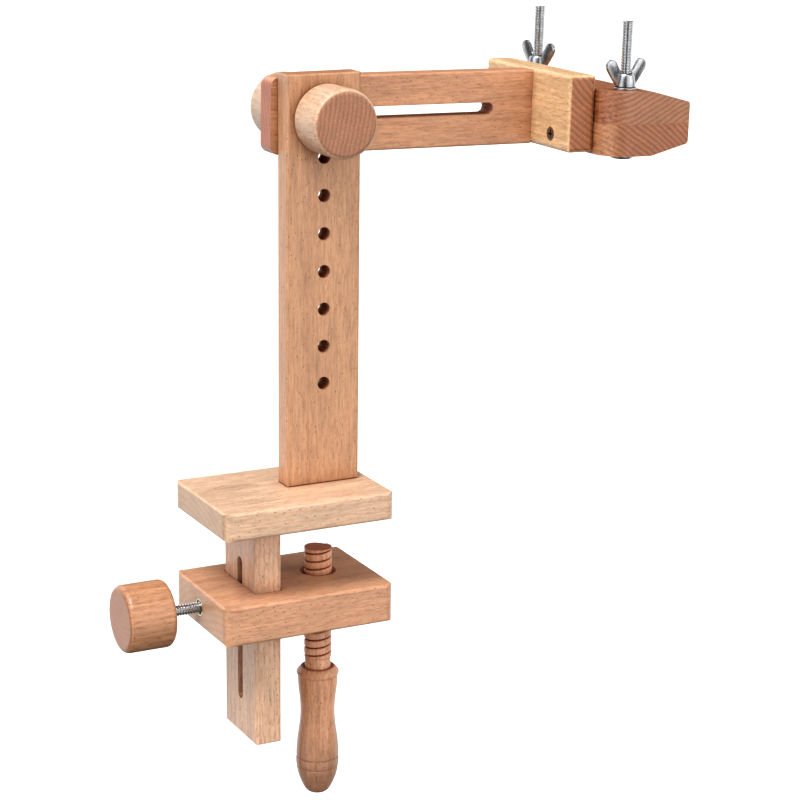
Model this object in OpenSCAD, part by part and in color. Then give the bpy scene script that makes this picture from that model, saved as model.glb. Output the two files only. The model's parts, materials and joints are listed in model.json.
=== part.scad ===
// Table-clamp stand for an embroidery hoop or frame, in turned and planed beech.
// Origin: centre of the upper plate's underside, the face that rests on a table.
// +X runs along the arm to the jaws, +Y to the back of the table, +Z up.

/* [Clamp plates] */
// Width of both plates along X
plate_w = 97; // [90:1:110]
// Depth of both plates along Y
plate_d = 70; // [60:1:90]
// Thickness of the upper plate
upper_t = 15; // [12:1:20]
// Thickness of the lower plate
lower_t = 21; // [18:1:26]
// Gap between the two plates at rest
plate_gap = 36; // [30:1:60]
// Radius of the plates' upright corners
plate_corner = 5; // [3:0.5:8]
// Radius of the rounded edges on planed wood
arris = 1.5; // [0.8:0.1:2]

/* [Post] */
// Width of the post along X
post_w = 42; // [36:1:50]
// Thickness of the post and of the arm
post_t = 12.5; // [10:0.5:16]
// Height of the post's top above the table face
post_top = 233; // [200:1:260]
// Height of the lowest adjusting hole
first_hole_z = 70; // [50:1:90]
// Distance between adjusting holes
hole_pitch = 20; // [15:1:25]
// Number of adjusting holes, the top one taken by the arm's bolt
hole_count = 8; // [4:1:8]
// Diameter of each adjusting hole
hole_d = 7; // [6.6:0.1:8]

/* [Guide bar] */
// Thickness of the guide bar along X
bar_t = 15; // [12:1:18]
// Depth of the guide bar along Y
bar_d = 42; // [30:1:44]
// Height of the bar's lower end, below the table face
bar_bottom = -122; // [-160:1:-110]
// Depth of the groove that the side screw bears in
groove_deep = 8; // [5:0.5:9]

/* [Arm] */
// Length from the pivot bolt to the crossbar
arm_front = 130.5; // [110:0.5:150]
// Length of the arm behind the pivot bolt
arm_tail = 24.5; // [20:0.5:40]
// Height of the arm
arm_h = 40; // [30:1:50]
// Width of the arm's slot
slot_w = 6.4; // [6.3:0.1:7]
// Distance that the arm can slide back over the bolt
slot_travel = 103; // [60:1:105]
// Angle by which the arm droops below level at rest
arm_droop = 1; // [0:0.1:2]

/* [Crossbar and jaws] */
// Thickness of the crossbar along X
crossbar_t = 16; // [14:1:20]
// Length of the crossbar along Y
crossbar_len = 90; // [80:1:110]
// Height of the crossbar
crossbar_h = 41; // [36:1:46]
// Length of the jaws along Y
jaw_len = 120; // [110:1:150]
// Width of the jaws along X
jaw_w = 50; // [40:1:60]
// Thickness of each jaw at the crossbar
jaw_t = 17; // [14:1:20]
// Thickness of each jaw at its nose
nose_t = 11.5; // [9:0.5:13]
// Distance from the crossbar at which the jaws start to thin
nose_start = 27; // [20:1:34]
// Radius of the jaws' inner corners
jaw_corner = 15; // [8:1:15]

/* [Screws and knobs] */
// Diameter of the M6 bolts
bolt_d = 6; // [6:6]
// Length of the two jaw bolts under their heads
jaw_bolt_len = 70; // [60:1:80]
// Distance of each jaw bolt from the middle of the jaws
jaw_bolt_off = 45.5; // [40:0.5:50]
// Diameter of the turned knobs
knob_d = 36; // [30:1:40]
// Length of the turned knobs
knob_len = 26; // [20:1:30]
// Diameter of the wooden clamp screw
spindle_d = 15; // [12:0.5:16]
// Pitch of the wooden clamp screw
spindle_pitch = 4.5; // [4:0.5:5]
// Height of the clamp screw above the lower plate at rest
spindle_rise = 13.5; // [10:0.5:20]

/* [Hidden] */
$fn = 96;
eps = 0.5;
run = 0.05;             // radial clearance of a running fit
gap = 0.2;              // clearance between sliding faces
bolt_r = bolt_d / 2;

line_y = 2.25;          // centre line of the post, bar and clamp screw
bar_x = -17.5;
post_x = 21;
bolt_z = first_hole_z + hole_pitch * (hole_count - 1);

tenon_deep = 8;
post_tenon_w = post_w - 8;
post_tenon_t = post_t - 4;
bar_tenon_t = bar_t - 5;
bar_tenon_w = bar_d - 8;
mortise_gap = 0.3;

screw_d = 4;
screw_len = 38;
screw_head_d = 8;
post_screw_off = 10;
bar_screw_off = 8;
jaw_screw_len = 35;
jaw_screw_head_d = 7.5;
jaw_screw_off = 26.5;
lower_top = -plate_gap;
lower_bottom = lower_top - lower_t;
side_z = lower_top - lower_t / 2;
bar_left = bar_x - bar_t / 2;
groove_top = -21.5;
groove_low = -102;
groove_w = 6.4;

post_front = line_y - post_t / 2;
post_back = line_y + post_t / 2;
arm_y0 = post_back + gap;
arm_y1 = arm_y0 + post_t;
arm_mid = (arm_y0 + arm_y1) / 2;
arm_x0 = post_x - arm_tail;
crossbar_x = post_x + arm_front;
jaw_x = crossbar_x + crossbar_t;
jaw_seam = bolt_z - 4;
jaw_bolt_x = jaw_x + 17.5;
crossbar_z = bolt_z + 0.5;
upper_jaw_gap = 0.3;

insert_d = 10;
insert_len = 13;
side_knob_x = -plate_w / 2 - 18.5;
side_tip_x = bar_left + groove_deep - 0.1;

washer_t = 1.2;
pivot_washer_t = 1.6;
pivot_washer_d = 18;
flange_t = 2.8;
flange_d = 15;
knob_front = post_front - gap;
washer_y = arm_y1 + 0.05;
flange_y = washer_y + pivot_washer_t + 0.05;
rear_knob_y = flange_y + flange_t;
knob_bore_deep = 18;

spindle_top = lower_top + spindle_rise;
thread_bottom = -85;
shank_bottom = -106;
shank_d = 14.2;
thread_cut = 1.3;
funnel_d = 19.8;
funnel_deep = 2.6;
handle_top = -91;
nut_h = 15;

// ---- shapes that repeat ----

// A rectangle with round corners, centred
module rounded_rect(w, h, r) {
    square([w - 2 * r, h], center = true);
    square([w, h - 2 * r], center = true);
    for (x = [-1, 1], y = [-1, 1])
        translate([x * (w / 2 - r), y * (h / 2 - r)]) circle(r);
}

// A planed block, centred: round upright corners and eased top and bottom edges
module planed_block(w, d, h, corner, edge) {
    intersection() {
        translate([0, 0, -h / 2]) linear_extrude(h) rounded_rect(w, d, corner);
        rotate([90, 0, 0]) translate([0, 0, -d / 2 - eps])
            linear_extrude(d + 2 * eps) rounded_rect(w, h, edge);
        rotate([90, 0, 90]) translate([0, 0, -w / 2 - eps])
            linear_extrude(w + 2 * eps) rounded_rect(d, h, edge);
    }
}

// A slot with round ends, centred on its first end and running along +X
module slot_2d(len, w) {
    circle(w / 2);
    translate([0, -w / 2]) square([len, w]);
    translate([len, 0]) circle(w / 2);
}

// A rod along +X or +Y from where it is placed
module along_x(len, d) rotate([0, 90, 0]) cylinder(h = len, d = d);
module along_y(len, d) rotate([-90, 0, 0]) cylinder(h = len, d = d);

// A turned knob with rounded ends, from z = 0 up, with a blind bore in its lower face
module knob(bore_d, bore_deep) {
    rounding = 3;
    difference() {
        rotate_extrude() intersection() {
            translate([0, knob_len / 2]) rounded_rect(knob_d, knob_len, rounding);
            square([knob_d, knob_len]);
        }
        translate([0, 0, -eps]) cylinder(h = bore_deep + eps, d = bore_d);
    }
}

// A countersunk wood screw along +Z, its head's flat face at z = 0
module wood_screw(len, shank_d, head_d) {
    head_h = (head_d - shank_d) / 2;
    tip = 4;
    difference() {
        union() {
            cylinder(h = head_h, d1 = head_d, d2 = shank_d);
            cylinder(h = len - tip, d = shank_d);
            translate([0, 0, len - tip]) cylinder(h = tip, d1 = shank_d, d2 = 1);
        }
        for (turn = [0, 90])
            rotate([0, 0, turn]) translate([-head_d * 0.3, -0.5, -eps])
                cube([head_d * 0.6, 1, 1 + eps]);
    }
}

// The hole that such a screw fills
module screw_hole(len, shank_d, head_d) {
    head_h = (head_d - shank_d) / 2;
    cylinder(h = head_h, d1 = head_d, d2 = shank_d);
    cylinder(h = len, d = shank_d);
    translate([0, 0, -1]) cylinder(h = 1.001, d = head_d);
}

// A flat ring along +Z
module ring(h, d, bore) {
    difference() {
        cylinder(h = h, d = d);
        translate([0, 0, -eps]) cylinder(h = h + 2 * eps, d = bore);
    }
}

// ---- the fixed stand ----

module post_screw_places() {
    for (x = [-1, 1] * post_screw_off) translate([post_x + x, line_y, 0]) children();
}

module upper_plate() {
    color("burlywood") difference() {
        translate([0, 0, upper_t / 2])
            planed_block(plate_w, plate_d, upper_t, plate_corner, arris);
        translate([post_x, line_y, upper_t - tenon_deep / 2 + eps / 2])
            cube([post_tenon_w, post_tenon_t, tenon_deep + eps], center = true);
        translate([bar_x, line_y, tenon_deep / 2 - eps / 2])
            cube([bar_tenon_t, bar_tenon_w, tenon_deep + eps], center = true);
        post_screw_places() screw_hole(upper_t, screw_d, screw_head_d);
    }
}

module post() {
    height = post_top - upper_t;
    color("tan") difference() {
        union() {
            translate([post_x, line_y, upper_t + height / 2])
                planed_block(post_w, post_t, height, arris, 1);
            translate([post_x, line_y, upper_t - tenon_deep / 2 + 1])
                cube([post_tenon_w, post_tenon_t, tenon_deep + 2], center = true);
        }
        for (i = [0 : hole_count - 1])
            translate([post_x, post_front - eps, first_hole_z + i * hole_pitch])
                along_y(post_t + 2 * eps, hole_d);
        post_screw_places() cylinder(h = screw_len, d = screw_d);
    }
}

module post_screws() {
    color("silver") post_screw_places() wood_screw(screw_len, screw_d, screw_head_d);
}

module guide_bar() {
    height = -bar_bottom;
    color("peru") difference() {
        union() {
            translate([bar_x, line_y, -height / 2])
                planed_block(bar_t, bar_d, height, 2, 1);
            translate([bar_x, line_y, tenon_deep / 2 - 1])
                cube([bar_tenon_t, bar_tenon_w, tenon_deep + 2], center = true);
        }
        translate([bar_left - eps, line_y, groove_low + groove_w / 2])
            rotate([90, 0, 90]) rotate([0, 0, 90])
                linear_extrude(groove_deep + eps)
                    slot_2d(groove_top - groove_low - groove_w, groove_w);
    }
}

// ---- the sliding lower plate and its two screws ----

module lower_plate() {
    color("burlywood") difference() {
        translate([0, 0, side_z])
            planed_block(plate_w, plate_d, lower_t, plate_corner, arris);
        translate([bar_x, line_y, side_z])
            cube([bar_t + 2 * mortise_gap, bar_d + 2 * mortise_gap, lower_t + 2], center = true);
        translate([-plate_w / 2 - eps, line_y, side_z]) along_x(insert_len + eps, insert_d);
        translate([-plate_w / 2, line_y, side_z]) along_x(bar_left + plate_w / 2, hole_d);
        translate([post_x, line_y, lower_bottom - eps])
            cylinder(h = lower_t + 2 * eps, d = spindle_d + 2 * run);
        translate([post_x, line_y, lower_top - funnel_deep])
            cylinder(h = funnel_deep + 0.01, d1 = spindle_d + 2 * run, d2 = funnel_d);
        translate([post_x, line_y, lower_top]) cylinder(h = 1, d = funnel_d);
    }
}

module plate_insert() {
    color("khaki") translate([-plate_w / 2, line_y, side_z])
        rotate([0, 90, 0]) ring(insert_len, insert_d, bolt_d + 2 * run);
}

module side_bolt() {
    start = side_knob_x - knob_bore_deep + 1;
    color("silver") translate([start, line_y, side_z])
        along_x(side_tip_x - start, bolt_d);
}

module side_knob() {
    color("tan") translate([side_knob_x, line_y, side_z])
        rotate([0, -90, 0]) knob(bolt_d + 2 * run, knob_bore_deep);
}

// The clamp screw: a coarse wooden thread shown as rings, and a plain shank
module clamp_spindle() {
    turns = floor((spindle_top - thread_bottom) / spindle_pitch);
    color("tan") translate([post_x, line_y, 0]) difference() {
        union() {
            translate([0, 0, thread_bottom])
                cylinder(h = spindle_top - thread_bottom, d = spindle_d);
            translate([0, 0, shank_bottom])
                cylinder(h = thread_bottom - shank_bottom + 1, d = shank_d);
        }
        rotate_extrude() for (i = [0 : turns - 1])
            translate([spindle_d / 2, spindle_top - spindle_pitch * (i + 0.75)])
                polygon([[0.5, -1.5], [0.5, 1.5], [0, 1], [-thread_cut, 0.15],
                         [-thread_cut, -0.15], [0, -1]]);
    }
}

// Radius eased from one value to another, t from 0 to 1
function eased(a, b, t) = a + (b - a) * (1 - cos(180 * t)) / 2;

module clamp_handle() {
    steps = 12;
    collar_r = 11.6;
    neck_r = 9.4;
    bulge_r = 11.6;
    neck_s = 26;
    bulge_s = 50;
    outline = concat(
        [[0, 0], [8.8, 0], [collar_r, 3], [collar_r, 4.2]],
        [for (i = [0 : steps]) [eased(10.9, neck_r, i / steps), 5.5 + (neck_s - 5.5) * i / steps]],
        [for (i = [1 : steps])
            [eased(neck_r, bulge_r, i / steps), neck_s + (bulge_s - neck_s) * i / steps]],
        [[11.7, 52], [10.9, 53], [11.6, 54], [11.8, 56], [11.5, 57.6], [10.7, 58.6], [11.3, 59.6]],
        [[10.9, 62], [9.6, 66], [8.1, 69.5], [6.8, 72], [5.4, 73.4], [3.6, 74.2], [0, 74.6]]);
    bore_deep = handle_top - shank_bottom + 1;
    color("tan") translate([post_x, line_y, handle_top]) mirror([0, 0, 1]) difference() {
        rotate_extrude() polygon(outline);
        translate([0, 0, -eps]) cylinder(h = bore_deep + eps, d = shank_d + 2 * run);
    }
}

// ---- the pivot ----

module front_knob() {
    color("tan") translate([post_x, knob_front, bolt_z])
        rotate([90, 0, 0]) knob(bolt_d, knob_bore_deep);
}

module arm_bolt() {
    start = knob_front - knob_bore_deep;
    finish = rear_knob_y + knob_bore_deep - 2;
    color("silver") translate([post_x, start, bolt_z]) along_y(finish - start, bolt_d);
}

module pivot_washer() {
    color("silver") translate([post_x, washer_y, bolt_z])
        rotate([-90, 0, 0]) ring(pivot_washer_t, pivot_washer_d, slot_w);
}

module rear_insert() {
    sleeve_len = 12;
    color("khaki") translate([post_x, flange_y, bolt_z]) rotate([-90, 0, 0]) difference() {
        union() {
            cylinder(h = flange_t, d = flange_d);
            cylinder(h = flange_t + sleeve_len, d = insert_d);
        }
        translate([0, 0, -eps]) cylinder(h = 20, d = bolt_d + 2 * run);
    }
}

module rear_knob() {
    color("tan") translate([post_x, rear_knob_y + run, bolt_z])
        rotate([-90, 0, 0]) knob(insert_d + 2 * run, knob_bore_deep);
}

// ---- the arm and its head ----

// Everything on the arm, turned down about the pivot bolt by the resting droop
module drooped() {
    translate([post_x, 0, bolt_z]) rotate([0, arm_droop, 0]) translate([-post_x, 0, -bolt_z])
        children();
}

module crossbar_screw_places() {
    for (z = [-1, 1] * bar_screw_off) translate([jaw_x, arm_mid, bolt_z + z]) rotate([0, -90, 0]) children();
}

module jaw_screw_places() {
    for (y = [-1, 1] * jaw_screw_off)
        translate([crossbar_x, arm_mid + y, jaw_seam - 8]) rotate([0, 90, 0]) children();
}

module arm() {
    end_r = 5;
    length = arm_tail + arm_front;
    color("peru") drooped() difference() {
        intersection() {
            translate([arm_x0, arm_y1, bolt_z - arm_h / 2]) rotate([90, 0, 0])
                linear_extrude(post_t) union() {
                    translate([end_r, 0]) square([length - end_r, arm_h]);
                    translate([0, end_r]) square([length, arm_h - 2 * end_r]);
                    for (z = [end_r, arm_h - end_r]) translate([end_r, z]) circle(end_r);
                }
            translate([arm_x0 - eps, arm_mid, bolt_z]) rotate([90, 0, 90])
                linear_extrude(length + 2 * eps) rounded_rect(post_t, arm_h, 1.2);
        }
        translate([post_x, arm_y1 + eps, bolt_z]) rotate([90, 0, 0])
            linear_extrude(post_t + 2 * eps) slot_2d(slot_travel, slot_w);
        crossbar_screw_places() cylinder(h = screw_len, d = screw_d);
    }
}

module crossbar() {
    color("burlywood") drooped() difference() {
        translate([crossbar_x + crossbar_t / 2, arm_mid, crossbar_z])
            planed_block(crossbar_t, crossbar_len, crossbar_h, 2.5, 2.5);
        crossbar_screw_places() screw_hole(screw_len, screw_d, screw_head_d);
        jaw_screw_places() screw_hole(jaw_screw_len, screw_d, jaw_screw_head_d);
    }
}

module crossbar_screws() {
    color("silver") drooped() crossbar_screw_places() wood_screw(screw_len, screw_d, screw_head_d);
}

module jaw_screws() {
    color("silver") drooped() jaw_screw_places() wood_screw(jaw_screw_len, screw_d, jaw_screw_head_d);
}

// A jaw bar with its flat gripping face at z = 0 and its thinned nose at +X
module jaw(from_x) {
    nose = [[jaw_w, 0], [jaw_w, nose_t - 1.6], [jaw_w - 0.5, nose_t - 0.5], [jaw_w - 1.6, nose_t]];
    intersection() {
        translate([0, jaw_len / 2, 0]) rotate([90, 0, 0]) linear_extrude(jaw_len)
            polygon(concat([[from_x, jaw_t], [from_x, 0]], nose, [[nose_start, jaw_t]]));
        translate([0, 0, -eps]) linear_extrude(jaw_t + 2 * eps) union() {
            translate([jaw_corner, -jaw_len / 2]) square([jaw_w - jaw_corner, jaw_len]);
            translate([0, -jaw_len / 2 + jaw_corner]) square([jaw_w, jaw_len - 2 * jaw_corner]);
            for (side = [-1, 1])
                translate([jaw_corner, side * (jaw_len / 2 - jaw_corner)]) circle(jaw_corner);
        }
    }
}

module at_jaw_bolts(sides = [-1, 1]) {
    for (side = sides)
        translate([jaw_bolt_x, arm_mid + side * jaw_bolt_off, jaw_seam]) children();
}

module lower_jaw() {
    color("peru") drooped() difference() {
        translate([jaw_x, arm_mid, jaw_seam]) mirror([0, 0, 1]) jaw(0);
        at_jaw_bolts() translate([0, 0, -jaw_t - eps]) cylinder(h = jaw_t + 2 * eps, d = bolt_d);
        at_jaw_bolts() translate([0, 0, -jaw_t]) cube([bolt_d, bolt_d, 7], center = true);
        jaw_screw_places() cylinder(h = jaw_screw_len, d = screw_d);
    }
}

module upper_jaw() {
    color("peru") drooped() difference() {
        translate([jaw_x, arm_mid, jaw_seam + 0.05]) jaw(upper_jaw_gap);
        at_jaw_bolts() translate([0, 0, -eps]) cylinder(h = jaw_t + 2 * eps, d = bolt_d + 0.6);
    }
}

// A carriage bolt: domed head, square neck and shank
module carriage_bolt() {
    head_d = 13.4;
    head_h = 3;
    dome_r = (head_d * head_d / 4 + head_h * head_h) / (2 * head_h);
    translate([0, 0, -jaw_t]) {
        intersection() {
            translate([0, 0, dome_r - head_h]) sphere(dome_r);
            translate([0, 0, -head_h]) cylinder(h = head_h, d = head_d);
        }
        translate([0, 0, 1.75 - 0.01]) cube([bolt_d, bolt_d, 3.5], center = true);
        translate([0, 0, -1]) cylinder(h = jaw_bolt_len + 1, d = bolt_d);
    }
}

module jaw_bolt_front() color("silver") drooped() at_jaw_bolts([-1]) carriage_bolt();
module jaw_bolt_rear() color("silver") drooped() at_jaw_bolts([1]) carriage_bolt();

module jaw_washer() translate([0, 0, jaw_t + 0.05]) ring(washer_t, 12.5, bolt_d + 0.6);

module jaw_washer_front() color("silver") drooped() at_jaw_bolts([-1]) jaw_washer();
module jaw_washer_rear() color("silver") drooped() at_jaw_bolts([1]) jaw_washer();

// A wing nut: a coned boss with two raised wings in the XZ plane
module wing_nut() {
    boss_h = 8;
    wing_t = 2;
    translate([0, 0, jaw_t + washer_t + 0.1]) difference() {
        union() {
            cylinder(h = boss_h, d1 = 11.5, d2 = 9);
            for (turn = [0, 180]) rotate([90, 0, turn])
                translate([0, 0, -wing_t / 2]) linear_extrude(wing_t) union() {
                    polygon([[3.5, 0.3], [5.5, 0.3], [13.2, 9.5], [9, 13.5], [3.5, 6]]);
                    translate([11.2, nut_h - 4.2]) circle(3.2);
                }
        }
        translate([0, 0, -eps]) cylinder(h = nut_h + 2, d = bolt_d + 2 * run);
    }
}

module wing_nut_front() color("silver") drooped() at_jaw_bolts([-1]) rotate([0, 0, 12]) wing_nut();
module wing_nut_rear() color("silver") drooped() at_jaw_bolts([1]) rotate([0, 0, 98]) wing_nut();

upper_plate();
post();
post_screws();
guide_bar();
lower_plate();
plate_insert();
side_bolt();
side_knob();
clamp_spindle();
clamp_handle();
front_knob();
arm_bolt();
pivot_washer();
rear_insert();
rear_knob();
arm();
crossbar();
crossbar_screws();
jaw_screws();
lower_jaw();
jaw_bolt_front();
jaw_bolt_rear();
upper_jaw();
jaw_washer_front();
jaw_washer_rear();
wing_nut_front();
wing_nut_rear();
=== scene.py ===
import json
import math

import bpy
from mathutils import Euler, Matrix, Quaternion, Vector


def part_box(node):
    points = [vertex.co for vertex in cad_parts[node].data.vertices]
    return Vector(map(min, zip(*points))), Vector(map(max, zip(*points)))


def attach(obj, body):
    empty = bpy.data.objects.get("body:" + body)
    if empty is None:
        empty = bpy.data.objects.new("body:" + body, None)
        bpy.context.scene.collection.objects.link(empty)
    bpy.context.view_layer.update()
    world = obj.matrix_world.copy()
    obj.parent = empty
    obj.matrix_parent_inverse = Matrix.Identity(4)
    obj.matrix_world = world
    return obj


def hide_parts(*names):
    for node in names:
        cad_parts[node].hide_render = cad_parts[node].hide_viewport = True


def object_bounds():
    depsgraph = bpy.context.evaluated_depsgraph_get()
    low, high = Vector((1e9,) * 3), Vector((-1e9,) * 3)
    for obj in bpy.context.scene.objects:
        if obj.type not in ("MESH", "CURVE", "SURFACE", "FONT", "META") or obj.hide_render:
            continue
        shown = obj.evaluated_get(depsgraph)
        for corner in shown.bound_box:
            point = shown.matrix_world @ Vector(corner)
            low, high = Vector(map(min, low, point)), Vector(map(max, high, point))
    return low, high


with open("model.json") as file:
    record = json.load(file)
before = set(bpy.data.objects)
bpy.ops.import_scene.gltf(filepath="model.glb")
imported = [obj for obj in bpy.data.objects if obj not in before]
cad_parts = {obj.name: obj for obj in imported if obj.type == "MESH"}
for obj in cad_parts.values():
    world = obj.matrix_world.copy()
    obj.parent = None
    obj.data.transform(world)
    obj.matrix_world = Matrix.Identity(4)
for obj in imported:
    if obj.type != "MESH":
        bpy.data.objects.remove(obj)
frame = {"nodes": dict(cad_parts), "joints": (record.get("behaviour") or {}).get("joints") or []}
cad_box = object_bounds()

mm = 0.001

# ---------------------------------------------------------------- small tools


def linear(hex_colour):
    """An sRGB hex colour as the linear colour that a shader takes."""
    parts = [int(hex_colour[i:i + 2], 16) / 255 for i in (1, 3, 5)]
    return tuple(c / 12.92 if c <= 0.04045 else ((c + 0.055) / 1.055) ** 2.4 for c in parts) + (1.0,)


def add_node(tree, kind, inputs=None, **settings):
    """Adds a node, sets it, and gives each input its value or the socket that feeds it."""
    made = tree.nodes.new(kind)
    for name, value in settings.items():
        setattr(made, name, value)
    for key, value in (inputs or {}).items():
        if isinstance(value, bpy.types.NodeSocket):
            tree.links.new(value, made.inputs[key])
        else:
            made.inputs[key].default_value = value
    return made


def start_material(name):
    """A new material with its node tree and its Principled shader."""
    material = bpy.data.materials.new(name)
    material.use_nodes = True
    return material, material.node_tree, material.node_tree.nodes["Principled BSDF"]


def centre_of(node):
    low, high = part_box(node)
    return (low + high) / 2


# ---------------------------------------------------------------- beech

# the two axes across the grain and the one along it, and the way the grain runs
GRAIN_ORDER = {"X": ("Y", "Z", "X"), "Y": ("X", "Z", "Y"), "Z": ("X", "Y", "Z")}
GRAIN_VECTOR = {"X": (1, 0, 0), "Y": (0, 1, 0), "Z": (0, 0, 1)}

# how often each part of the figure repeats in a metre, across and along the grain
SLOW_SWAY = (26, 8)        # the rings wander by a few millimetres along the board
QUICK_SWAY = (110, 60)     # and ripple a little every centimetre or so
FIBRES = (850, 60)         # bundles of fibres, drawn 1.2 mm wide so that they show
DASHES = (850, 180)        # dashes about 1.2 mm by 5 mm, where the rays dip in and out of the face
PATCHES = (110, 14)        # broad patches of tone, 9 mm by 70 mm

SLOW_REACH = 5 * mm
QUICK_REACH = 0.9 * mm
RAY_BROWN = "#6b3a22"
ARRIS_BROWN = "#a8683f"
# the deep brown of the painted shade in holes, grooves and corners
PAINTED_SHADE_BROWN = "#9a6853"
ARRIS_R = 1.2 * mm         # how far from an edge the arrises are darkened
SHELTER_REACH = 11 * mm    # how far a wall or a hole's rim reaches with painted shade and a duller oil beside it
PORE_DEPTH = 0.07 * mm
SQUARE_ON = 0.96           # the cosine past which a face counts as cut right across the grain
# heights from a board's middle over which painted shade darkens its lower end
LOWER_SHADE_FROM, LOWER_SHADE_TO = -25 * mm, 15 * mm


def stretched(tree, source, rate, shift=(0, 0, 0)):
    """Coordinates scaled to a number of repeats per metre, across and along the grain."""
    across, along = rate
    return add_node(tree, "ShaderNodeVectorMath", {0: source, 1: (across, across, along), 2: shift},
                    operation="MULTIPLY_ADD").outputs[0]


def swayed_across(tree, board, rate, reach, source):
    """Moves coordinates about across the grain, by reach at most."""
    noise = add_node(tree, "ShaderNodeTexNoise", {"Vector": stretched(tree, board, rate), "Scale": 1.0,
                                                  "Detail": 2.0})
    sway = add_node(tree, "ShaderNodeVectorMath", {0: noise.outputs["Color"], 1: (0.5, 0.5, 0.5)},
                    operation="SUBTRACT")
    return add_node(tree, "ShaderNodeVectorMath", {0: sway.outputs[0], 1: (reach, reach, 0), 2: source},
                    operation="MULTIPLY_ADD").outputs[0]


def year_rings(tree, swayed, pith, ring_gap):
    """Rises from the early wood to the dark late wood of each ring round the pith."""
    across = add_node(tree, "ShaderNodeVectorMath",
                      {0: swayed, 1: (1, 1, 0), 2: (-pith[0] * mm, -pith[1] * mm, 0)},
                      operation="MULTIPLY_ADD")
    radius = add_node(tree, "ShaderNodeVectorMath", {0: across.outputs[0]}, operation="LENGTH")
    rings = add_node(tree, "ShaderNodeMath", {0: radius.outputs["Value"], 1: 1 / (ring_gap * mm)},
                     operation="MULTIPLY")
    year = add_node(tree, "ShaderNodeMath", {0: rings.outputs[0]}, operation="FRACT")
    return add_node(tree, "ShaderNodeMapRange",
                    {"Value": year.outputs[0], "From Min": 0.2, "From Max": 0.95},
                    interpolation_type="SMOOTHERSTEP").outputs[0]


def cut_across(tree, normal, grain):
    """One on faces that cut the fibres across, nought on those that lie along them."""
    facing = add_node(tree, "ShaderNodeVectorMath", {0: normal, 1: GRAIN_VECTOR[grain]},
                      operation="DOT_PRODUCT")
    facing_size = add_node(tree, "ShaderNodeMath", {0: facing.outputs["Value"]}, operation="ABSOLUTE")
    return add_node(tree, "ShaderNodeMapRange",
                    {"Value": facing_size.outputs[0], "From Min": 0.7, "From Max": SQUARE_ON},
                    interpolation_type="SMOOTHSTEP").outputs[0]


def ray_flecks(tree, swayed, width, length, share, size, strength, seed):
    """Ray flecks: lens-shaped marks, one to a cell of that width and length in millimetres."""
    cells = stretched(tree, swayed, (1000 / width, 1000 / length), (seed, seed * 0.37, seed * 1.9))
    spots = add_node(tree, "ShaderNodeTexVoronoi", {"Vector": cells, "Scale": 1.0})
    near = add_node(tree, "ShaderNodeMapRange",
                    {"Value": spots.outputs["Distance"], "From Min": size * 0.4, "From Max": size,
                     "To Min": strength, "To Max": 0.0}, interpolation_type="SMOOTHSTEP")
    dice = add_node(tree, "ShaderNodeSeparateColor", {0: spots.outputs["Color"]})
    chosen = add_node(tree, "ShaderNodeMath", {0: dice.outputs[0], 1: share}, operation="LESS_THAN")
    return add_node(tree, "ShaderNodeMath", {0: near.outputs[0], 1: chosen.outputs[0]},
                    operation="MULTIPLY").outputs[0]


def dark_part(tree, board, late_wood, end_grain, side_grain, side_rings, end_rings, figure):
    """How dark the wood is at each place, from its rings and, on its sides, from its dashes."""
    blotches = add_node(tree, "ShaderNodeTexNoise", {"Vector": stretched(tree, board, DASHES),
                                                     "Scale": 1.0, "Detail": 2.0, "Roughness": 0.6,
                                                     "Distortion": 0.5})
    dashes = add_node(tree, "ShaderNodeMapRange",
                      {"Value": blotches.outputs[0], "From Min": 0.46, "From Max": 0.66,
                       "To Min": 0.0, "To Max": figure}, interpolation_type="SMOOTHSTEP")
    side_dashes = add_node(tree, "ShaderNodeMath", {0: dashes.outputs[0], 1: side_grain},
                           operation="MULTIPLY")
    depth = add_node(tree, "ShaderNodeMapRange", {"Value": end_grain, "To Min": side_rings,
                                                  "To Max": end_rings})
    ring_mix = add_node(tree, "ShaderNodeMath", {0: late_wood, 1: depth.outputs[0]},
                        operation="MULTIPLY")
    return add_node(tree, "ShaderNodeMath", {0: ring_mix.outputs[0], 1: side_dashes.outputs[0]},
                    operation="ADD", use_clamp=True).outputs[0]


def uneven_tone(tree, board, fibres, height, lower_shade):
    """A brightness that changes with the fibres and in patches, and darker towards the lower end with
    painted shade.
    """
    patches = add_node(tree, "ShaderNodeTexNoise", {"Vector": stretched(tree, board, PATCHES),
                                                    "Scale": 1.0, "Detail": 2.0})
    fibre_tone = add_node(tree, "ShaderNodeMapRange", {"Value": fibres, "From Min": 0.3,
                                                       "From Max": 0.7, "To Min": 0.78, "To Max": 1.18})
    patch_tone = add_node(tree, "ShaderNodeMapRange", {"Value": patches.outputs[0], "From Min": 0.3,
                                                       "From Max": 0.7, "To Min": 0.90, "To Max": 1.08})
    drawn_tone = add_node(tree, "ShaderNodeMath", {0: fibre_tone.outputs[0], 1: patch_tone.outputs[0]},
                          operation="MULTIPLY")
    # painted shade: darker towards the lower end, where less light reaches
    lower_shading = add_node(tree, "ShaderNodeMapRange", {"Value": height, "From Min": LOWER_SHADE_FROM,
                                                 "From Max": LOWER_SHADE_TO, "To Min": 1.0 - lower_shade,
                                                 "To Max": 1.0}, interpolation_type="SMOOTHSTEP")
    return add_node(tree, "ShaderNodeMath", {0: drawn_tone.outputs[0], 1: lower_shading.outputs[0]},
                    operation="MULTIPLY").outputs[0]


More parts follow.
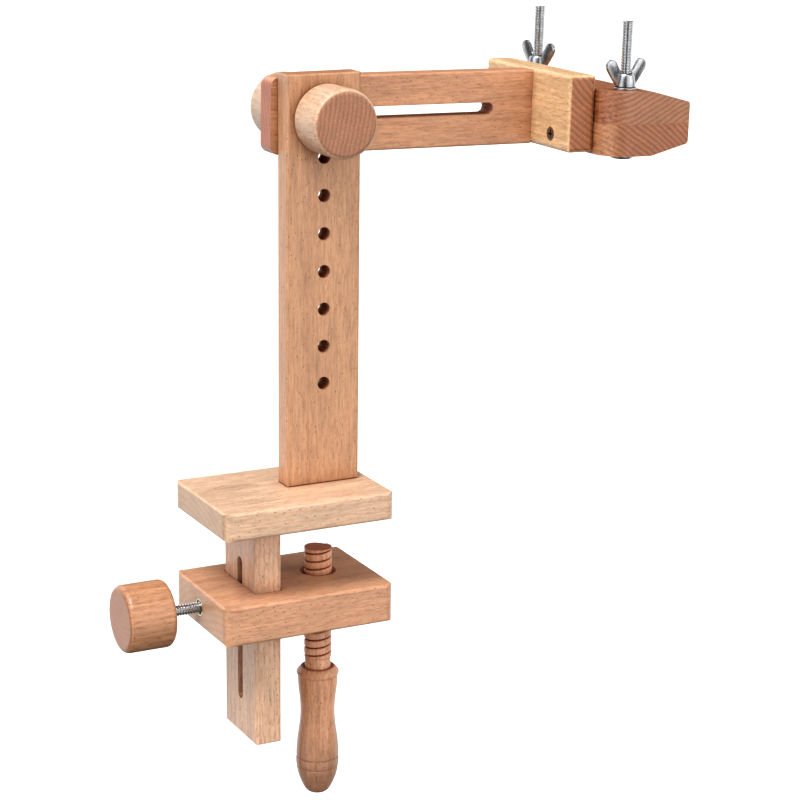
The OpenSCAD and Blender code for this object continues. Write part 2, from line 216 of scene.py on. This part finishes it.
def darkened_arrises(tree, colour):
    """Darkens the arrises a little."""
    rounded = add_node(tree, "ShaderNodeBevel", {"Radius": ARRIS_R}, samples=4)
    true_face = add_node(tree, "ShaderNodeNewGeometry")
    same_way = add_node(tree, "ShaderNodeVectorMath",
                        {0: rounded.outputs[0], 1: true_face.outputs["Normal"]}, operation="DOT_PRODUCT")
    edge = add_node(tree, "ShaderNodeMapRange", {"Value": same_way.outputs["Value"], "From Min": 0.80,
                                                 "From Max": 0.99, "To Min": 0.45, "To Max": 0.0})
    return add_node(tree, "ShaderNodeMix", {0: edge.outputs[0], 6: colour, 7: linear(ARRIS_BROWN)},
                    data_type="RGBA").outputs[2]


def oil_and_painted_shade(tree, shader, colour, fibres):
    """Rubbed oil: a satin sheen on open faces that fades in holes and corners, where the colour is
    darkened with painted shade.
    """
    shelter = add_node(tree, "ShaderNodeAmbientOcclusion", {"Distance": SHELTER_REACH}, samples=6)
    # painted shade: the colour darkens towards a deep brown in holes, grooves and the corners between
    # parts
    shade_and_grime = add_node(tree, "ShaderNodeMapRange", {"Value": shelter.outputs["AO"], "From Min": 0.1,
                                                  "From Max": 0.75, "To Min": 1.0, "To Max": 0.0})
    with_painted_shade = add_node(tree, "ShaderNodeMix", {0: shade_and_grime.outputs[0], 6: colour, 7: linear(PAINTED_SHADE_BROWN)},
                     data_type="RGBA", blend_type="MULTIPLY")
    tree.links.new(with_painted_shade.outputs[2], shader.inputs["Base Color"])
    rough = add_node(tree, "ShaderNodeMapRange", {"Value": fibres, "From Min": 0.3,
                                                  "From Max": 0.7, "To Min": 0.38, "To Max": 0.54})
    tree.links.new(rough.outputs[0], shader.inputs["Roughness"])
    oil = add_node(tree, "ShaderNodeMapRange", {"Value": shelter.outputs["AO"], "From Min": 0.45,
                                                "From Max": 0.95, "To Min": 0.0, "To Max": 0.45})
    tree.links.new(oil.outputs[0], shader.inputs["Specular IOR Level"])
    tree.links.new(oil.outputs[0], shader.inputs["Coat Weight"])
    shader.inputs["Coat Roughness"].default_value = 0.34
    shader.inputs["IOR"].default_value = 1.5


def beech(name, node, grain, pith, pale, dark, end_tone, ring_gap, side_rings, end_rings, figure,
          lower_shade=0.0):
    """Oiled European beech cut from a log. The rings stand round a pith line beside the board,
    so they show as soft bands on its faces and as stripes on its end grain, with the short
    dark dashes and ray flecks that beech has. pith is the pith's place across the grain, in
    millimetres from the board's middle, and ring_gap is in millimetres too. The last argument
    is how far painted shade darkens its lower end, where less light reaches."""
    material, tree, shader = start_material(name)
    place = add_node(tree, "ShaderNodeTexCoord")
    from_middle = add_node(tree, "ShaderNodeVectorMath",
                           {0: place.outputs["Object"], 1: centre_of(node)}, operation="SUBTRACT")
    split = add_node(tree, "ShaderNodeSeparateXYZ", {0: from_middle.outputs[0]})
    board = add_node(tree, "ShaderNodeCombineXYZ",
                     {i: split.outputs[a] for i, a in enumerate(GRAIN_ORDER[grain])}).outputs[0]
    wandering = swayed_across(tree, board, SLOW_SWAY, SLOW_REACH, board)
    swayed = swayed_across(tree, board, QUICK_SWAY, QUICK_REACH, wandering)

    end_grain = cut_across(tree, place.outputs["Normal"], grain)
    side_grain = add_node(tree, "ShaderNodeMath", {0: 1.0, 1: end_grain}, operation="SUBTRACT").outputs[0]
    fibres = add_node(tree, "ShaderNodeTexNoise", {"Vector": stretched(tree, swayed, FIBRES),
                                                   "Scale": 1.0, "Detail": 3.0,
                                                   "Roughness": 0.65}).outputs[0]
    all_flecks = add_node(tree, "ShaderNodeMath",
                          {0: ray_flecks(tree, swayed, 1.1, 3.0, 0.8, 0.26, 0.45, 3.1),
                           1: ray_flecks(tree, swayed, 2.0, 4.6, 0.5, 0.19, 0.85, 11.7)},
                          operation="MAXIMUM")
    marks = add_node(tree, "ShaderNodeMath", {0: all_flecks.outputs[0], 1: side_grain},
                     operation="MULTIPLY").outputs[0]

    # colour, from the ground tone up; the end grain's shift is doubled so that it can lighten too
    late_wood = year_rings(tree, swayed, pith, ring_gap)
    dark_share = dark_part(tree, board, late_wood, end_grain, side_grain, side_rings, end_rings, figure)
    ground = add_node(tree, "ShaderNodeMix", {0: dark_share, 6: linear(pale), 7: linear(dark)},
                      data_type="RGBA")
    tone = uneven_tone(tree, board, fibres, split.outputs["Z"], lower_shade)
    toned = add_node(tree, "ShaderNodeVectorMath", {0: ground.outputs[2], "Scale": tone},
                     operation="SCALE")
    end_shift = tuple(2 * channel for channel in linear(end_tone))
    ended = add_node(tree, "ShaderNodeMix", {0: end_grain, 6: toned.outputs[0], 7: end_shift},
                     data_type="RGBA", blend_type="MULTIPLY")
    marked = add_node(tree, "ShaderNodeMix", {0: marks, 6: ended.outputs[2], 7: linear(RAY_BROWN)},
                      data_type="RGBA")
    oil_and_painted_shade(tree, shader, darkened_arrises(tree, marked.outputs[2]), fibres)

    # pores and flecks lie a few hundredths of a millimetre below the planed face
    pores = add_node(tree, "ShaderNodeMath", {0: fibres, 1: 0.8, 2: dark_share},
                     operation="MULTIPLY_ADD")
    relief = add_node(tree, "ShaderNodeMath", {0: pores.outputs[0], 1: marks}, operation="SUBTRACT")
    bump = add_node(tree, "ShaderNodeBump", {"Strength": 0.4, "Distance": PORE_DEPTH,
                                             "Height": relief.outputs[0]})
    tree.links.new(bump.outputs[0], shader.inputs["Normal"])
    return material


# ---------------------------------------------------------------- metal and the finish of each node

CLOUD_RATE = 420.0                     # spangle of the plating, about 2.4 mm across
SCRATCH_RATE = (2500, 2500, 300)       # scratches 0.4 mm wide and 3 mm long
SCRATCH_DEPTH = 0.02 * mm


def plated_steel(name, tint, low_rough=0.14, high_rough=0.30, shade_and_grime="#4f4e4a", hollow=0.8):
    """Zinc-plated steel: a bright metal with a fine cloudiness and lengthwise scratches,
    nearly black in the roots of the thread and in other hollows: painted shade there, with the
    oil and dust that stay in the roots. hollow is how far, in millimetres, a wall spreads that
    painted shade over the metal beside it."""
    material, tree, shader = start_material(name)
    place = add_node(tree, "ShaderNodeTexCoord")
    cloud = add_node(tree, "ShaderNodeTexNoise", {"Vector": place.outputs["Object"], "Scale": CLOUD_RATE,
                                                  "Detail": 4.0, "Roughness": 0.6})
    scratch_place = add_node(tree, "ShaderNodeVectorMath",
                             {0: place.outputs["Object"], 1: SCRATCH_RATE}, operation="MULTIPLY")
    scratches = add_node(tree, "ShaderNodeTexNoise", {"Vector": scratch_place.outputs[0], "Scale": 1.0,
                                                      "Detail": 2.0})
    spread = add_node(tree, "ShaderNodeMapRange", {"Value": cloud.outputs[0], "From Min": 0.35,
                                                   "From Max": 0.7, "To Min": 0.0, "To Max": 0.35})
    shelter = add_node(tree, "ShaderNodeAmbientOcclusion", {"Distance": hollow * mm}, samples=6)
    # painted shade with some oil and dust: nearly black in thread roots and other hollows
    roots = add_node(tree, "ShaderNodeMapRange", {"Value": shelter.outputs["AO"], "From Min": 0.35,
                                                  "From Max": 0.9, "To Min": 0.85, "To Max": 0.0})
    share = add_node(tree, "ShaderNodeMath", {0: spread.outputs[0], 1: roots.outputs[0]},
                     operation="MAXIMUM")
    body = add_node(tree, "ShaderNodeMix", {0: share.outputs[0], 6: linear(tint), 7: linear(shade_and_grime)},
                    data_type="RGBA")
    tree.links.new(body.outputs[2], shader.inputs["Base Color"])
    shader.inputs["Metallic"].default_value = 1.0
    rough = add_node(tree, "ShaderNodeMapRange", {"Value": scratches.outputs[0], "From Min": 0.3,
                                                  "From Max": 0.7, "To Min": low_rough,
                                                  "To Max": high_rough})
    tree.links.new(rough.outputs[0], shader.inputs["Roughness"])
    bump = add_node(tree, "ShaderNodeBump", {"Strength": 0.25, "Distance": SCRATCH_DEPTH,
                                             "Height": scratches.outputs[0]})
    tree.links.new(bump.outputs[0], shader.inputs["Normal"])
    return material


def paint(node, material):
    """Gives a CAD node its finished material."""
    slots = frame["nodes"][node].data.materials
    slots.clear()
    slots.append(material)


# each board: the way its grain runs, the place of its pith, its pale and dark wood, the shift of its
# end grain (#bcbcbc is none), ring spacing, how strongly the rings show on its sides and on its ends,
# how strong its dashes are, and how far painted shade darkens its lower end
BOARDS = {
    "upper_plate": ("X", (25, -90), "#d8b292", "#b9845c", "#a5a29c", 4.0, 0.2, 0.3, 0.4),
    "lower_plate": ("X", (-35, -95), "#cd9670", "#ad6d49", "#b4bab8", 4.0, 0.15, 0.3, 0.5),
    "post": ("Z", (14, 110), "#c8936b", "#a36944", "#afa298", 3.4, 0.2, 0.5, 0.4),
    "guide_bar": ("Z", (60, -25), "#e2b593", "#b9835e", "#a18777", 3.0, 0.25, 0.6, 0.5),
    "arm": ("X", (90, -30), "#cd9168", "#a36641", "#a47d64", 3.2, 0.22, 0.6, 0.45),
    "crossbar": ("Y", (75, 90), "#e6b988", "#c08a56", "#896753", 2.9, 0.2, 1.0, 0.5),
    "lower_jaw": ("Y", (-110, -142), "#ba7f55", "#8b4f30", "#a7988f", 2.6, 0.4, 0.8, 0.5),
    "upper_jaw": ("Y", (-76, 163), "#a96942", "#783c20", "#bcc8d7", 2.6, 0.5, 0.6, 0.8),
    "side_knob": ("X", (0, 45), "#bf875e", "#8b4e2e", "#a09088", 3.2, 0.3, 0.15, 0.4),
    "front_knob": ("Y", (-95, 12), "#dab290", "#ac7b59", "#927768", 2.4, 0.2, 0.55, 0.4),
    "rear_knob": ("Y", (80, 30), "#caab8c", "#a4795c", "#967a6b", 2.6, 0.2, 0.5, 0.4),
    "clamp_spindle": ("Z", (22, 16), "#f0b087", "#c07c53", "#a4847c", 2.6, 0.3, 0.5, 0.4),
    # the handle's lower end is darkened with painted shade, where less light reaches
    "clamp_handle": ("Z", (18, -24), "#e2a176", "#ae6b45", "#8c6858", 3.4, 0.2, 0.6, 0.4, 0.46),
}
woods = {}
for node, board in BOARDS.items():
    woods[node] = beech("oiled_beech_" + node, node, *board)
    paint(node, woods[node])

zinc = plated_steel("bright_zinc_plated_steel", "#dcdee0")
# each one's last colour is its cloudiness and the painted shade of its hollows and thread roots, and its
# last number how far that shade reaches
cast_zinc = plated_steel("cloudy_zinc_wing_nuts", "#bcbec0", 0.2, 0.34, "#2f2e2c", 1.6)
screw_zinc = plated_steel("dull_zinc_screw_heads", "#8f8c89", 0.2, 0.34, "#191614", 2.4)
yellow_zinc = plated_steel("yellow_passivated_zinc", "#ece6b4", 0.25, 0.45, "#3f3b22", 2.2)
METALS = {"post_screws": screw_zinc, "crossbar_screws": screw_zinc, "jaw_screws": screw_zinc,
          "pivot_washer": zinc, "plate_insert": yellow_zinc, "rear_insert": yellow_zinc,
          "side_bolt": zinc, "arm_bolt": zinc, "jaw_bolt_front": zinc, "jaw_bolt_rear": zinc,
          "jaw_washer_front": zinc, "jaw_washer_rear": zinc, "wing_nut_front": cast_zinc,
          "wing_nut_rear": cast_zinc}
for node, metal in METALS.items():
    paint(node, metal)

# ---------------------------------------------------------------- modelling tools


def clear_selection():
    bpy.ops.object.select_all(action="DESELECT")


def start_outline(name, points):
    """A run of edges through points in the XZ plane, drawn by extruding one corner."""
    clear_selection()
    bpy.ops.mesh.primitive_plane_add(size=mm)
    piece = bpy.context.object
    piece.name = piece.data.name = name
    bpy.ops.object.mode_set(mode="EDIT")
    bpy.ops.mesh.select_all(action="SELECT")
    bpy.ops.mesh.merge(type="CENTER")
    start = Vector((points[0][0], 0, points[0][1]))
    bpy.ops.transform.translate(value=start)
    here = start
    for x, z in points[1:]:
        there = Vector((x, 0, z))
        bpy.ops.mesh.extrude_vertices_move(TRANSFORM_OT_translate={"value": there - here})
        here = there
    return piece


def turned(name, points, steps=64):
    """A lathe-turned solid about Z; the outline starts and ends on the axis, or closes on itself."""
    piece = start_outline(name, points)
    bpy.ops.mesh.select_all(action="SELECT")
    bpy.ops.mesh.spin(steps=steps, angle=2 * math.pi, center=(0, 0, 0), axis=(0, 0, 1))
    bpy.ops.mesh.select_all(action="SELECT")
    bpy.ops.mesh.remove_doubles(threshold=0.005 * mm)
    bpy.ops.mesh.normals_make_consistent(inside=False)
    bpy.ops.object.mode_set(mode="OBJECT")
    return piece


def threaded(name, low, high, pitch, outline, steps):
    """A threaded rod about Z from low to high: one pitch of outline, wound up and cut square."""
    piece = start_outline(name, [(r, low - pitch + z) for r, z in outline])
    bpy.ops.object.mode_set(mode="OBJECT")
    winding = piece.modifiers.new("thread", "SCREW")
    winding.screw_offset = pitch
    winding.iterations = math.ceil((high - low) / pitch) + 2
    winding.steps = winding.render_steps = steps
    winding.use_merge_vertices = True
    winding.merge_threshold = 0.002 * mm
    bpy.ops.object.modifier_apply(modifier="thread")
    bpy.ops.object.mode_set(mode="EDIT")
    bpy.ops.mesh.select_all(action="SELECT")
    bpy.ops.mesh.remove_doubles(threshold=0.004 * mm)
    for height, keep_above in ((low, True), (high, False)):
        bpy.ops.mesh.select_all(action="SELECT")
        bpy.ops.mesh.bisect(plane_co=(0, 0, height), plane_no=(0, 0, 1), use_fill=True,
                            clear_inner=keep_above, clear_outer=not keep_above)
    bpy.ops.mesh.select_all(action="SELECT")
    bpy.ops.mesh.dissolve_degenerate(threshold=0.0001 * mm)
    bpy.ops.mesh.select_all(action="SELECT")
    bpy.ops.mesh.fill_holes(sides=0)
    bpy.ops.mesh.select_all(action="SELECT")
    bpy.ops.mesh.normals_make_consistent(inside=False)
    bpy.ops.object.mode_set(mode="OBJECT")
    return piece


def joined(parts):
    """Closed solids that run into each other, made one piece under the first one's name."""
    clear_selection()
    for part in parts:
        part.select_set(True)
    bpy.context.view_layer.objects.active = parts[0]
    bpy.ops.object.join()
    return parts[0]


def place(piece, spot, turn=(0, 0, 0), lean=Quaternion()):
    """Turns and leans a piece made at the origin, moves it to its spot and leaves that in its mesh."""
    piece.rotation_mode = "QUATERNION"
    piece.rotation_quaternion = lean @ Euler([math.radians(angle) for angle in turn]).to_quaternion()
    piece.location = spot
    clear_selection()
    piece.select_set(True)
    bpy.context.view_layer.objects.active = piece
    bpy.ops.object.transform_apply(location=True, rotation=True, scale=True)
    return piece


def finish_piece(piece, body, material, node, smooth=35):
    """Gives a piece its finish, hangs it on its body and hides the CAD node that it stands in for."""
    clear_selection()
    piece.select_set(True)
    bpy.context.view_layer.objects.active = piece
    bpy.ops.object.shade_smooth_by_angle(angle=math.radians(smooth))
    piece.data.materials.clear()
    piece.data.materials.append(material)
    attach(piece, body)
    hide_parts(node)
    return piece


# ---------------------------------------------------------------- bolts and nuts

M6_CREST = 2.98 * mm
M6_ROOT = 2.4 * mm
M6_PITCH = 1.5 * mm      # drawn coarser than the real 1 mm, so that it can be seen
M6_OUTLINE = [(M6_ROOT, 0), (M6_ROOT, 0.15 * mm), (M6_CREST, 0.65 * mm), (M6_CREST, 0.9 * mm),
              (M6_ROOT, 1.4 * mm), (M6_ROOT, M6_PITCH)]
M6_STEPS = 24

# the arm droops a little, and everything on its jaws leans with it
joints = {joint["name"]: joint for joint in frame["joints"]}
arm_up = Vector(joints["upper_jaw_lift"]["axis"])
lean = Vector((0, 0, 1)).rotation_difference(arm_up)
jaw_spots = {side: Vector(joints["wing_nut_%s_turn" % side]["pos_m"]) for side in ("front", "rear")}

# places along each jaw bolt, from the point that its nut turns about
BOLT_END = -39 * mm
WASHER_SEAT = -1.95 * mm
NUT_SEAT = -0.7 * mm
NUT_TURN = {"front": 12, "rear": 98}      # where each wing nut happens to have stopped


def m6_rod(name, low, high):
    return threaded(name, low, high, M6_PITCH, M6_OUTLINE, M6_STEPS)


def carriage_bolt(name):
    """A domed head, a square neck sunk in the wood and a rolled thread."""
    head_h = 3 * mm
    length = 73 * mm
    neck_w = 5.9 * mm
    dome = [(r * mm, z * mm) for r, z in ((0, 0), (3.5, 0.05), (5.2, 0.35), (6.2, 0.9), (6.6, 1.6),
                                          (6.7, 2.2), (6.7, 2.85), (6.55, 3.0), (0, 3.0))]
    head = turned(name, dome, 48)
    clear_selection()
    bpy.ops.mesh.primitive_cube_add(size=neck_w, location=(0, 0, head_h + 0.6 * mm))
    neck = bpy.context.object
    bpy.ops.object.transform_apply(scale=True, location=True)
    bpy.ops.object.mode_set(mode="EDIT")
    bpy.ops.mesh.select_all(action="SELECT")
    bpy.ops.mesh.bevel(offset=0.5 * mm, segments=2)
    bpy.ops.object.mode_set(mode="OBJECT")
    rod = m6_rod(name + "_rod", head_h + 2 * mm, length)
    return joined([head, neck, rod])


def threaded_stud(node, turn, start_axis):
    """A plain threaded bolt as long as its CAD node, laid from that node's lower end."""
    low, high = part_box(node)
    start = (low + high) / 2
    start[start_axis] = low[start_axis]
    return place(m6_rod("threaded_" + node, 0, max(high - low)), start, turn)


# half of a wing nut's outline: one wing from the boss out to its rounded tip
WING = [(3.4, 0.6), (5.4, 0.3), (7.2, 1.4), (10.2, 4.9), (13.2, 8.8), (14.2, 10.6), (14.3, 12.0),
        (13.7, 13.3), (12.4, 14.5), (10.8, 15.0), (9.2, 14.8), (7.8, 13.6), (6.0, 11.0),
        (4.6, 9.0), (3.4, 8.0)]


def wing_nut(name):
    """A cold-formed wing nut: a coned boss and two broad flat wings that flare upwards."""
    bore = 2.7
    wing_t = 2.2 * mm
    boss = turned(name, [(r * mm, z * mm) for r, z in (
        (bore, 0), (5.2, 0), (5.7, 0.5), (5.6, 1.8), (4.9, 6.2), (4.4, 6.9), (bore, 7.0), (bore, 0))], 40)
    parts = [boss]
    for facing in (0, 180):
        wing = start_outline(name + "_wing", [(x * mm, z * mm) for x, z in WING])
        bpy.ops.mesh.select_all(action="SELECT")
        bpy.ops.mesh.edge_face_add()
        bpy.ops.mesh.extrude_region_move(TRANSFORM_OT_translate={"value": (0, wing_t, 0)})
        bpy.ops.mesh.select_all(action="SELECT")
        bpy.ops.transform.translate(value=(0, -wing_t / 2, 0))
        bpy.ops.mesh.normals_make_consistent(inside=False)
        bpy.ops.mesh.bevel(offset=0.5 * mm, segments=2, affect="EDGES")
        bpy.ops.object.mode_set(mode="OBJECT")
        parts.append(place(wing, (0, 0, 0), (0, 0, facing)))
    return joined(parts)


def stamped_washer(name):
    """A plain washer with one rounded and one burred face."""
    return turned(name, [(r * mm, z * mm) for r, z in (
        (3.3, 0.15), (3.45, 0), (5.95, 0), (6.25, 0.3), (6.25, 1.05), (6.1, 1.2), (3.5, 1.2),
        (3.3, 1.0), (3.3, 0.15))], 48)


def hex_drive_insert():
    """The threaded insert in the lower plate's edge: a sleeve with a hexagon sunk in its outer end."""
    low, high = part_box("plate_insert")
    sleeve = turned("hex_drive_insert", [(r * mm, z * mm) for r, z in (
        (3.05, 0.3), (3.3, 0), (4.7, 0), (5.0, 0.3), (5.0, 12.7), (4.7, 13.0), (3.3, 13.0),
        (3.05, 12.7), (3.05, 0.3))], 64)
    clear_selection()
    bpy.ops.mesh.primitive_cylinder_add(vertices=6, radius=4.3 * mm, depth=6 * mm)
    socket = bpy.context.object
    recess = sleeve.modifiers.new("recess", "BOOLEAN")
    recess.operation = "DIFFERENCE"
    recess.solver = "EXACT"
    recess.object = socket
    bpy.context.view_layer.objects.active = sleeve
    bpy.ops.object.modifier_apply(modifier="recess")
    bpy.data.objects.remove(socket)
    middle = (low + high) / 2
    return place(sleeve, (low.x, middle.y, middle.z), (0, 90, 0))


for side, spot in jaw_spots.items():
    bolt = place(carriage_bolt("carriage_bolt_" + side), spot + BOLT_END * arm_up, lean=lean)
    finish_piece(bolt, "arm", zinc, "jaw_bolt_" + side)

finish_piece(threaded_stud("side_bolt", (0, 90, 0), 0), "side_bolt", zinc, "side_bolt")
finish_piece(threaded_stud("arm_bolt", (-90, 0, 0), 1), "front_knob", zinc, "arm_bolt")

for side, spot in jaw_spots.items():
    nut = place(wing_nut("formed_wing_nut_" + side), spot + NUT_SEAT * arm_up, (0, 0, NUT_TURN[side]),
                lean)
    finish_piece(nut, "wing_nut_" + side, cast_zinc, "wing_nut_" + side, 40)
    washer = place(stamped_washer("stamped_washer_" + side), spot + WASHER_SEAT * arm_up, lean=lean)
    finish_piece(washer, "upper_jaw", zinc, "jaw_washer_" + side)

finish_piece(hex_drive_insert(), "lower_plate", yellow_zinc, "plate_insert")

# ---------------------------------------------------------------- the wooden clamp screw

spindle_low, spindle_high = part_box("clamp_spindle")
spindle_middle = (spindle_low + spindle_high) / 2
spindle_axis = (spindle_middle.x, spindle_middle.y, 0)


def clamp_screw():
    """A wooden screw with broad flat turns and narrow grooves, on a plain shank."""
    spindle_r = (spindle_high.x - spindle_low.x) / 2
    shank_r = 7.05 * mm
    root_r = spindle_r - 1.6 * mm
    pitch = 4.5 * mm
    thread_low = -85 * mm
    run_out = 62 - 360 * ((spindle_high.z - thread_low) / pitch % 1)    # turns its end to the back
    outline = [(root_r, 0), (root_r, 0.3 * mm), (spindle_r - 0.4 * mm, 0.6 * mm),
               (spindle_r - 0.1 * mm, 0.85 * mm), (spindle_r, 1.3 * mm), (spindle_r, 3.5 * mm),
               (spindle_r - 0.1 * mm, 3.95 * mm), (spindle_r - 0.4 * mm, 4.2 * mm), (root_r, pitch)]
    thread = threaded("clamp_screw_thread", thread_low, spindle_high.z, pitch, outline, 48)
    shank_top = thread_low + 1.2 * mm
    shank = turned("clamp_screw_shank", [(0, spindle_low.z), (shank_r - mm, spindle_low.z),
                                         (shank_r, spindle_low.z + mm), (shank_r, shank_top - 0.8 * mm),
                                         (shank_r - 0.6 * mm, shank_top), (0, shank_top)], 48)
    return place(joined([thread, shank]), spindle_axis, (0, 0, run_out))


def eased(a, b, t):
    """A smooth curve from a to b as t goes from nought to one."""
    return a + (b - a) * (1 - math.cos(math.pi * t)) / 2


# the handle's outline as radius and depth below its top, in millimetres
SOCKET_DEPTH = 15
HANDLE_COLLAR = [(7.2, SOCKET_DEPTH), (7.2, 0.4), (7.6, 0), (8.8, 0), (9.4, 0.3), (11.2, 2.4), (11.6, 3.1),
                 (11.6, 3.9), (11.3, 4.6), (10.9, 5.2)]
HANDLE_WAIST = [(eased(10.9, 9.4, i / 12), 5.2 + 20.8 * i / 12) for i in range(1, 13)]
HANDLE_SWELL = [(eased(9.4, 11.6, i / 12), 26 + 24.6 * i / 12) for i in range(1, 13)]
HANDLE_BEAD = [(11.7, 51.6), (11.6, 52.3), (11.25, 52.6), (11.25, 52.9), (11.6, 53.2), (11.8, 54.2),
               (11.8, 55.8), (11.7, 57.2), (11.5, 57.9), (11.1, 58.2), (11.1, 58.5), (11.35, 58.8)]
HANDLE_END = [(11.3, 59.8), (11.0, 61.6), (10.4, 63.9), (9.6, 66.2), (8.8, 68.2), (8.0, 69.9),
              (7.2, 71.4), (6.3, 72.7), (5.2, 73.6), (3.8, 74.2), (2.0, 74.5), (0, 74.55)]


def clamp_handle():
    """A collar, a waisted grip, two turned grooves with a bead between them, and a blunt end."""
    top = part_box("clamp_handle")[1].z
    grip = HANDLE_COLLAR + HANDLE_WAIST + HANDLE_SWELL + HANDLE_BEAD + HANDLE_END
    outline = [(0, top - SOCKET_DEPTH * mm)] + [(r * mm, top - depth * mm) for r, depth in grip]
    return place(turned("turned_clamp_handle", outline, 72), spindle_axis)


finish_piece(clamp_screw(), "clamp_spindle", woods["clamp_spindle"], "clamp_spindle", 40)
finish_piece(clamp_handle(), "clamp_handle", woods["clamp_handle"], "clamp_handle", 30)

# ---------------------------------------------------------------- studio

FLOOR_SIZE = 60
FLOOR_DROP = 0.24        # metres from the lowest part to the floor, because the stand hangs from a table


def studio_floor():
    """A matt white floor that casts no light of its own on the wood."""
    clear_selection()
    bpy.ops.mesh.primitive_plane_add(size=FLOOR_SIZE, location=(0, 0, cad_box[0].z - FLOOR_DROP))
    floor = bpy.context.object
    floor.name = "studio_floor"
    floor.visible_diffuse = False
    floor.visible_glossy = False
    paint_coat, _, shader = start_material("matt_white_studio_floor")
    shader.inputs["Base Color"].default_value = linear("#f6f6f6")
    shader.inputs["Roughness"].default_value = 0.95
    floor.data.materials.append(paint_coat)


def studio_room():
    """A white room seen directly. As a light it is brighter in front and to the left than behind,
    and dim below, with dark screens that only polished metal mirrors."""
    world = bpy.data.worlds.new("studio")
    bpy.context.scene.world = world
    world.use_nodes = True
    room = world.node_tree
    where = add_node(room, "ShaderNodeTexCoord").outputs["Generated"]
    towards = add_node(room, "ShaderNodeSeparateXYZ", {0: where})
    upwards = add_node(room, "ShaderNodeMapRange", {"Value": towards.outputs["Z"], "From Min": -0.6,
                                                    "From Max": 0.6, "To Min": 0.12, "To Max": 0.5})
    facing_left = add_node(room, "ShaderNodeVectorMath", {0: where, 1: (-0.5, -0.8, 0.33)},
                           operation="DOT_PRODUCT")
    lobe = add_node(room, "ShaderNodeMapRange", {"Value": facing_left.outputs["Value"], "From Min": -0.3,
                                                 "From Max": 1.0, "To Min": 0.0, "To Max": 0.75})
    light = add_node(room, "ShaderNodeMath", {0: upwards.outputs[0], 1: lobe.outputs[0]},
                     operation="ADD")
    heading = add_node(room, "ShaderNodeMath", {0: towards.outputs["Y"], 1: towards.outputs["X"]},
                       operation="ARCTAN2")
    stripes = add_node(room, "ShaderNodeMath", {0: heading.outputs[0], 1: 4.0, 2: 0.6},
                       operation="MULTIPLY_ADD")
    wave = add_node(room, "ShaderNodeMath", {0: stripes.outputs[0]}, operation="SINE")
    screens = add_node(room, "ShaderNodeMapRange", {"Value": wave.outputs[0], "From Min": -0.4,
                                                    "From Max": 0.5, "To Min": 0.05, "To Max": 1.5})
    from_below = add_node(room, "ShaderNodeMapRange", {"Value": towards.outputs["Z"], "From Min": -0.8,
                                                       "From Max": -0.4, "To Min": 0.12, "To Max": 1.0})
    mirrored = add_node(room, "ShaderNodeMath", {0: screens.outputs[0], 1: from_below.outputs[0]},
                        operation="MULTIPLY")
    ray = add_node(room, "ShaderNodeLightPath")
    shown = add_node(room, "ShaderNodeMix", {0: ray.outputs["Is Glossy Ray"], 2: light.outputs[0],
                                             3: mirrored.outputs[0]})
    strength = add_node(room, "ShaderNodeMix", {0: ray.outputs["Is Camera Ray"], 2: shown.outputs[0],
                                                3: 1.0})
    background = room.nodes["Background"]
    background.inputs["Color"].default_value = (1, 1, 1, 1)
    room.links.new(strength.outputs[0], background.inputs["Strength"])


def sun(name, azimuth, elevation, strength, angle, colour="#ffffff"):
    """A distant soft light; azimuth counts from the front, clockwise seen from above."""
    data = bpy.data.lights.new(name, "SUN")
    data.energy = strength
    data.angle = math.radians(angle)
    data.color = linear(colour)[:3]
    lamp = bpy.data.objects.new(name, data)
    bpy.context.scene.collection.objects.link(lamp)
    a, e = math.radians(azimuth), math.radians(elevation)
    source = Vector((math.sin(a) * math.cos(e), -math.cos(a) * math.cos(e), math.sin(e)))
    lamp.rotation_euler = source.to_track_quat("Z", "Y").to_euler()


def studio_camera(aim, yaw, pitch, roll, distance, lens):
    """A camera that looks at aim from a distance, turned to the right by yaw and down by pitch."""
    data = bpy.data.cameras.new("camera")
    camera = bpy.data.objects.new("camera", data)
    bpy.context.scene.collection.objects.link(camera)
    bpy.context.scene.camera = camera
    yaw, pitch, roll = (math.radians(angle) for angle in (yaw, pitch, roll))
    ahead = Vector((math.sin(yaw) * math.cos(pitch), math.cos(yaw) * math.cos(pitch), -math.sin(pitch)))
    level = Vector((math.cos(yaw), -math.sin(yaw), 0))
    upright = level.cross(ahead)
    right = level * math.cos(roll) + upright * math.sin(roll)
    up = upright * math.cos(roll) - level * math.sin(roll)
    camera.matrix_world = Matrix.Translation(aim - ahead * distance) @ \
        Matrix((right, up, -ahead)).transposed().to_4x4()
    data.lens = lens
    data.sensor_width = 36
    data.clip_end = 100


studio_floor()
studio_room()
sun("key_light", -58, 62, 2.8, 26)
sun("side_fill", 50, 18, 0.75, 40)
sun("cool_left_fill", -95, 42, 0.5, 40, "#dbe6ff")
studio_camera(Vector((66.54, -4.0, 55.71)) * mm, 27.48, 14.99, 0.73, 1225.8 * mm, 102.56)
bpy.context.scene.view_settings.view_transform = "Standard"
